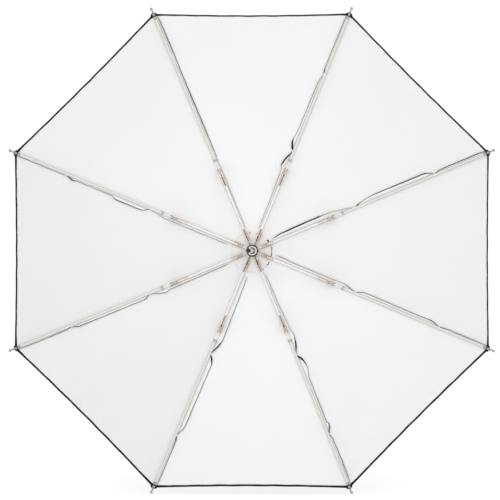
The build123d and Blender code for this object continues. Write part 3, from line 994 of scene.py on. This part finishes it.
# by rib: (arc length, how far the folded allowance reaches from the rib, how much of that is
# its black edge)
REACH = {
    1: [(27, 5.2, 0.4), (38, 7.4, 0.8), (58, 10.1, 1.6), (77, 10.9, 2.3), (115, 12.1, 2.3),
        (150, 12.3, 2.1), (156, 12.1, 0.8), (177, 11.5, 0.5), (190, 8.2, 0.4), (207, 6.7, 0.4),
        (217, 2.0, 0.6), (224, 2.0, 1.2), (229, 3.9, 2.0), (234, 5.9, 1.2), (241, 6.9, 0.6),
        (262, 10.6, 0.7), (284, 11.3, 1.2), (339, 11.0, 1.6), (395, 10.9, 1.6), (402, 8.9, 1.2),
        (410, 4.4, 1.0), (413, 1.8, 0.8), (417, 2.4, 1.2), (425, 5.5, 1.0), (452, 6.1, 1.2),
        (528, 6.2, 1.2), (542, 5.0, 0.8)],
    2: [(27, 6.2, 0.4), (115, 7.2, 0.5), (173, 9.4, 0.4), (182, 12.5, 0.8), (186, 12.5, 2.0),
        (192, 11.5, 2.7), (199, 9.0, 2.9), (207, 5.3, 2.9), (211, 2.4, 2.4), (214, 1.6, 0.6),
        (216, 2.4, 2.4), (222, 5.5, 2.9), (230, 8.4, 2.9), (239, 10.2, 2.2), (243, 10.8, 1.0),
        (249, 9.4, 0.5), (262, 7.9, 0.5), (377, 7.2, 0.6), (386, 4.8, 0.6), (395, 2.0, 0.6),
        (400, 3.2, 1.6), (406, 4.8, 1.4), (413, 5.4, 0.6), (528, 5.0, 0.6), (542, 4.6, 0.6)],
    3: [(27, 4.5, 0.2), (115, 4.9, 0.3), (198, 5.1, 0.3), (207, 5.9, 0.9), (284, 6.1, 1.2),
        (350, 6.0, 1.3), (411, 6.2, 1.0), (418, 6.7, 0.9), (464, 7.1, 1.1), (528, 7.0, 1.0),
        (542, 5.4, 0.6)],
    4: [(27, 7.4, 0.4), (115, 8.0, 0.4), (188, 8.0, 0.5), (209, 4.1, 0.6), (219, 1.8, 0.4),
        (226, 3.1, 1.0), (236, 9.2, 0.8), (245, 10.6, 1.0), (304, 10.5, 1.3), (308, 5.9, 0.6),
        (395, 5.8, 0.6), (403, 7.9, 1.6), (408, 6.8, 2.2), (414, 4.0, 2.4), (419, 2.0, 1.0),
        (425, 3.2, 0.5), (475, 3.7, 0.6), (528, 3.9, 0.6), (542, 3.7, 0.4)],
    5: [(27, 5.0, 0.4), (38, 5.8, 0.7), (115, 7.4, 0.8), (186, 8.8, 0.6), (192, 11.5, 0.8),
        (200, 10.0, 1.0), (211, 6.7, 1.0), (219, 2.4, 0.6), (223, 1.6, 0.4), (227, 2.2, 1.2),
        (236, 7.5, 1.2), (243, 8.1, 0.7), (395, 7.8, 1.0), (402, 5.8, 1.4), (408, 2.4, 0.6),
        (413, 3.0, 1.4), (422, 4.8, 0.8), (510, 4.9, 0.7), (533, 4.1, 0.7), (542, 3.7, 0.6)],
    6: [(27, 9.5, 0.7), (36, 10.3, 0.8), (115, 12.3, 0.8), (188, 14.1, 0.8), (194, 13.7, 1.2),
        (200, 12.3, 2.0), (207, 10.0, 2.9), (215, 5.3, 2.7), (220, 2.4, 1.8), (223, 1.6, 0.6),
        (226, 3.3, 1.8), (234, 7.9, 2.6), (243, 10.6, 1.8), (249, 12.6, 0.8), (284, 11.9, 0.8),
        (395, 11.1, 0.8), (404, 8.9, 1.0), (413, 3.6, 1.0), (416, 1.8, 0.6), (419, 2.6, 1.6),
        (427, 4.6, 1.8), (434, 5.5, 1.0), (528, 5.8, 0.6), (542, 5.0, 0.4)],
    7: [(27, 6.2, 0.5), (115, 7.0, 0.6), (173, 9.4, 0.4), (190, 12.7, 0.7), (200, 11.0, 1.8),
        (207, 9.4, 2.7), (215, 6.1, 2.7), (222, 2.7, 1.6), (225, 1.6, 0.4), (229, 2.6, 2.0),
        (239, 7.7, 3.1), (249, 11.2, 2.0), (258, 13.0, 1.0), (269, 13.0, 0.4), (280, 8.1, 0.6),
        (391, 7.0, 0.8), (396, 10.7, 1.2), (404, 8.3, 2.2), (412, 4.0, 2.2), (416, 1.8, 0.6),
        (420, 3.6, 1.0), (429, 5.9, 0.9), (464, 6.5, 0.9), (517, 6.4, 0.8), (542, 4.8, 0.4)],
    8: [(27, 7.8, 1.0), (42, 10.1, 1.1), (67, 9.7, 0.9), (73, 8.4, 0.7), (177, 8.4, 0.6),
        (196, 9.8, 0.8), (205, 6.9, 1.4), (215, 3.7, 1.4), (222, 1.6, 0.4), (227, 3.3, 1.0),
        (239, 7.9, 1.0), (252, 8.5, 0.8), (373, 7.6, 0.8), (405, 8.3, 1.2), (417, 3.8, 1.8),
        (421, 1.8, 0.6), (426, 3.0, 1.2), (436, 4.0, 1.2), (445, 4.7, 0.8), (528, 4.9, 0.7),
        (542, 4.3, 0.6)],
}
FLAP_ROWS, FLAP_COLS = 420, 11
FLAP_THICK = 0.16
FLAP_ROOT = 0.35                      # where a flap starts beside the rib's middle


def smoothed(values):
    kernel = np.hanning(7)
    kernel /= kernel.sum()
    return np.convolve(np.pad(values, 3, mode="edge"), kernel, "valid")


def flap(i, white):
    """A folded strip standing off the lining: the white half faces the bowl, and the black
    half lies behind it and peeps out."""
    side = SIDE[i]
    # clear of the rosette's edge
    start = ROSETTE_R + 2.4 + ROSETTE_SHIFT * math.cos(rib_angle(i) - ROSETTE_SHIFT_ANGLE)
    arcs = np.linspace(start, RIM_ARC - 3, FLAP_ROWS)
    rows = np.array(REACH[i])
    reach = smoothed(np.interp(arcs, rows[:, 0], rows[:, 1]))
    lip = smoothed(np.interp(arcs, rows[:, 0], rows[:, 2]))
    lip = (lip * (1.12 + 0.07 * np.clip(lip - 1.5, 0, 2))
           * np.clip((arcs - start) / 7.0, 0.35, 1))
    reach = reach + 0.12 * np.sin(arcs * 0.21 + i) + 0.08 * np.sin(arcs * 0.47 + 2 * i)
    white_width = np.maximum(reach - lip * 0.5, 0.9)
    width = white_width if white else reach + lip * 0.5
    lift = (1.5 + 0.5 * np.sin(arcs * 0.033 + 1.3 * i) + 0.3 * np.sin(arcs * 0.09 + i)
            + 0.5 * np.clip(lip - 1.0, 0, 2))
    # the strip lies flat at its two ends
    end = np.clip(np.minimum((arcs - start) / 9.0, (RIM_ARC - arcs) / 10.0), 0, 1)[:, None]
    out = FLAP_ROOT + (width[:, None] - FLAP_ROOT) * np.linspace(0, 1, FLAP_COLS)[None, :]
    droop = np.clip(1.15 - 0.25 * out / np.maximum(white_width[:, None], 1.0), 0.8, 1.0)
    rise = smoothstep((out - 2.3) / 4.2) * droop
    offset = -0.12 - (0.10 + lift[:, None] * rise) * end
    if white:
        offset = offset - 0.30 * (0.2 + 0.8 * end)
    arc_grid = arcs[:, None] + 0 * out
    verts = np.concatenate([beside_rib(i, arc_grid, side * out, offset - thick).reshape(-1, 3)
                            for thick in (0.0, FLAP_THICK)])
    uv = np.stack([out * MM, arc_grid * MM], -1).reshape(-1, 2)
    faces = shell_faces(FLAP_ROWS, FLAP_COLS, closed=False)
    if side < 0:
        faces = [face[::-1] for face in faces]
    ob = make_mesh(f"seam_{'white' if white else 'black'}_{i}", verts, faces,
                   SEAM_WHITE if white else SEAM_BLACK, uv=np.concatenate([uv, uv]))
    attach(ob, f"rib_{i}")


def winding(i, start, length, turns, radius, wander, wander_rate, swell=0.0):
    """Points of a thread wound round rib i."""
    per_turn = 14
    points = []
    for q in range(turns * per_turn + 1):
        turn = 2 * math.pi * q / per_turn
        arc = start + length * q / (turns * per_turn) + wander * math.sin(q * wander_rate)
        centre, _, across, normal = rib_frame(i, arc)
        loop_r = radius + swell * math.sin(q * 0.9)
        points.append((centre + loop_r * (math.cos(turn) * normal + math.sin(turn) * across)) * MM)
    return points


def tie(i, arc, tag):
    """Thread wound round the rib, looped out to the folded seam and knotted there."""
    side = SIDE[i]
    coil = winding(i, arc - 1.7, length=3.4, turns=7, radius=RIB_R + 0.26,
                   wander=0.25, wander_rate=1.3, swell=0.07)
    parts = [tube_mesh(coil, 0.24 * MM, sides=6)]
    for shift in (-1.0, 0.0, 1.0):
        centre, _, across, normal = rib_frame(i, arc + shift)
        loop = [(centre + side * (2.4 + 1.6 * math.sin(q / 8 * math.pi)) * across
                 + normal * (2.7 - 4.6 * q / 8)) * MM for q in range(9)]
        parts.append(tube_mesh(loop, 0.24 * MM, sides=6))
    centre, along, across, normal = rib_frame(i, arc)
    knot = (centre + side * 3.0 * across - 1.9 * normal) * MM
    tangle = [knot + 0.55 * MM * np.array([math.cos(q * 1.1), 0.5 * math.sin(q * 1.7),
                                           math.sin(q * 1.3)]) for q in range(16)]
    parts.append(tube_mesh(tangle, 0.28 * MM, sides=6))
    tail = [knot + MM * (side * 0.30 * q * across - normal * (0.25 * q + 0.02 * q * q)
                         + along * 0.12 * q) for q in range(7)]
    parts.append(tube_mesh(tail, 0.17 * MM, sides=6))
    verts, faces = join_parts(parts)
    ob = make_mesh(f"tie_{tag}_{i}", verts, faces, THREAD_WHITE)
    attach(ob, f"rib_{i}")
    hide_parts("thread_ties")


# ------------------------------------------------------------------ canopy corners
FOLD_SIDES, FOLD_RINGS = 18, 11


def weld(ob):
    """Merge the doubled points at the poles."""
    mesh = bmesh.new()
    mesh.from_mesh(ob.data)
    bmesh.ops.remove_doubles(mesh, verts=mesh.verts, dist=2e-6)
    bmesh.ops.recalc_face_normals(mesh, faces=mesh.faces)
    mesh.to_mesh(ob.data)
    mesh.free()


def corner_fold(i, side, size):
    """A small lumpy pouch of cloth on one side of the tip of rib i."""
    rim_slope = math.radians(float(rib_at(RIM_ARC)[2]))
    verts = []
    for ring in range(FOLD_RINGS):
        polar = math.pi * ring / (FOLD_RINGS - 1)
        centre, _, across, normal = rib_frame(i, RIM_ARC + (-1.2 + 4.4 * size * math.cos(polar)))
        for j in range(FOLD_SIDES):
            turn = 2 * math.pi * j / FOLD_SIDES
            fold = (1 + 0.14 * math.sin(3 * turn + i) * math.sin(polar)
                    + 0.08 * math.sin(5 * polar + side))
            aside = side * (4.1 + 2.2 * size * math.sin(polar) * math.cos(turn) * fold)
            up = 2.35 + 1.15 * math.sin(polar) * math.sin(turn) * fold
            inward = abs(aside) * 0.34 * math.sin(rim_slope)
            verts.append((centre + aside * across + (up - inward) * normal) * MM)
    return verts, ring_faces(FOLD_RINGS, FOLD_SIDES)


def corner(i):
    """The canopy's corner: two small black folds beside the tip, bound with black thread."""
    rng = random.Random(40 + i)
    parts = [corner_fold(i, side, rng.uniform(0.9, 1.15)) for side in (-1, 1)]
    binding = winding(i, RIM_ARC - 2.4, length=2.4, turns=4, radius=3.2,
                      wander=0.2, wander_rate=1.0)
    parts.append(tube_mesh(binding, 0.22 * MM, sides=6))
    verts, faces = join_parts(parts)
    ob = make_mesh(f"corner_{i}", verts, faces, HEM, uv=flat_uv(verts))
    weld(ob)
    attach(ob, f"rib_{i}")


for i in range(1, N_RIBS + 1):
    flap(i, white=True)
    flap(i, white=False)
    for tie_arc, tie_tag in zip(TIE_ARCS[i], "ab"):
        tie(i, tie_arc, tie_tag)
    corner(i)

# ------------------------------------------------------------------ stage, in metres
FLOOR_SIZE = 12
FLOOR_CELLS = 24
FLOOR_DROP = 0.004                    # below the lowest point of the umbrella
FLOOR_GLOW = 0.5
FLOOR_GLOW_SEEN = 0.24                # added where the camera sees it directly
LIGHT_ALL = 0.68                      # even light from the white room
LIGHT_FRONT = 1.14                    # added from the camera's side


def floor_look():
    look = Look("floor_pale")
    noise = look.noise(look.coords(), scale=3.0, detail=3.0)
    seen = look.add("LightPath").outputs["Is Camera Ray"]
    look.set(
        Base_Color=look.ramp(noise, (0.3, 0.44), (0.7, 0.46)),
        Roughness=0.9,
        Specular_IOR_Level=0.1,
        Emission_Color=(1, 1, 1),
        Emission_Strength=look.math("MULTIPLY_ADD", seen, FLOOR_GLOW_SEEN, FLOOR_GLOW))
    return look


def floor():
    z = CAD_LO.z - FLOOR_DROP
    ticks = [-FLOOR_SIZE / 2 + FLOOR_SIZE * k / FLOOR_CELLS for k in range(FLOOR_CELLS + 1)]
    verts = [(x, y, z) for x in ticks for y in ticks]
    row = FLOOR_CELLS + 1
    faces = []
    for i in range(FLOOR_CELLS):
        for j in range(FLOOR_CELLS):
            first = i * row + j
            faces.append((first, first + row, first + row + 1, first + 1))
    make_mesh("floor", verts, faces, floor_look())


def studio_world():
    """A white room; polished metal sees it with dark flags at its sides."""
    world = bpy.data.worlds.new("studio")
    bpy.context.scene.world = world
    world.use_nodes = True
    nodes = Nodes(world.node_tree)
    y = nodes.split(nodes.coords("Generated"))[1]
    front = nodes.math("MAXIMUM", nodes.math("MULTIPLY", y, -1.0), 0.0)
    front = nodes.math("POWER", front, 4.0)
    strength = nodes.math("MULTIPLY_ADD", front, LIGHT_FRONT, LIGHT_ALL)
    aside = nodes.math("SUBTRACT", 1.0, nodes.math("ABSOLUTE", y))
    flags = nodes.ramp(aside, (0.0, 1.05), (0.30, 1.0), (0.52, 0.10), (0.66, 0.06),
                       (0.80, 0.75), (1.0, 0.9))
    lit = nodes.add("Background", Color=(1.0, 1.0, 1.0), Strength=strength)
    glossy = nodes.add("Background", Color=flags, Strength=1.0)
    seen = nodes.add("Background", Color=(1.0, 1.0, 1.0), Strength=1.05)
    ray = nodes.add("LightPath").outputs
    room = nodes.mix_shader(ray["Is Glossy Ray"], lit.outputs[0], glossy.outputs[0])
    surface = nodes.mix_shader(ray["Is Camera Ray"], room, seen.outputs[0])
    nodes.add("OutputWorld", Surface=surface)


def place_and_aim(name, data, place, target):
    ob = bpy.data.objects.new(name, data)
    ob.location = place
    ob.rotation_mode = "QUATERNION"
    ob.rotation_quaternion = (Vector(target) - ob.location).to_track_quat("-Z", "Y")
    bpy.context.scene.collection.objects.link(ob)
    return ob


def key_light():
    data = bpy.data.lights.new("key", "AREA")
    data.shape = "DISK"
    data.size = 1.6
    data.energy = 5.0
    place_and_aim("key", data, place=(-0.9, -2.2, 2.0), target=(0, 0.45, 0))


def camera():
    """Straight into the bowl, a little right of the shaft."""
    data = bpy.data.cameras.new("camera")
    data.sensor_width = 36.0
    data.lens = 122.6
    data.clip_start, data.clip_end = 0.05, 50.0
    bpy.context.scene.camera = place_and_aim(
        "camera", data, place=(0.041, -2.877, 0.0), target=(-0.0047, 0.568, 0.0014))


floor()
studio_world()
key_light()
bpy.context.scene.view_settings.view_transform = "Standard"
bpy.context.scene.view_settings.look = "None"
camera()
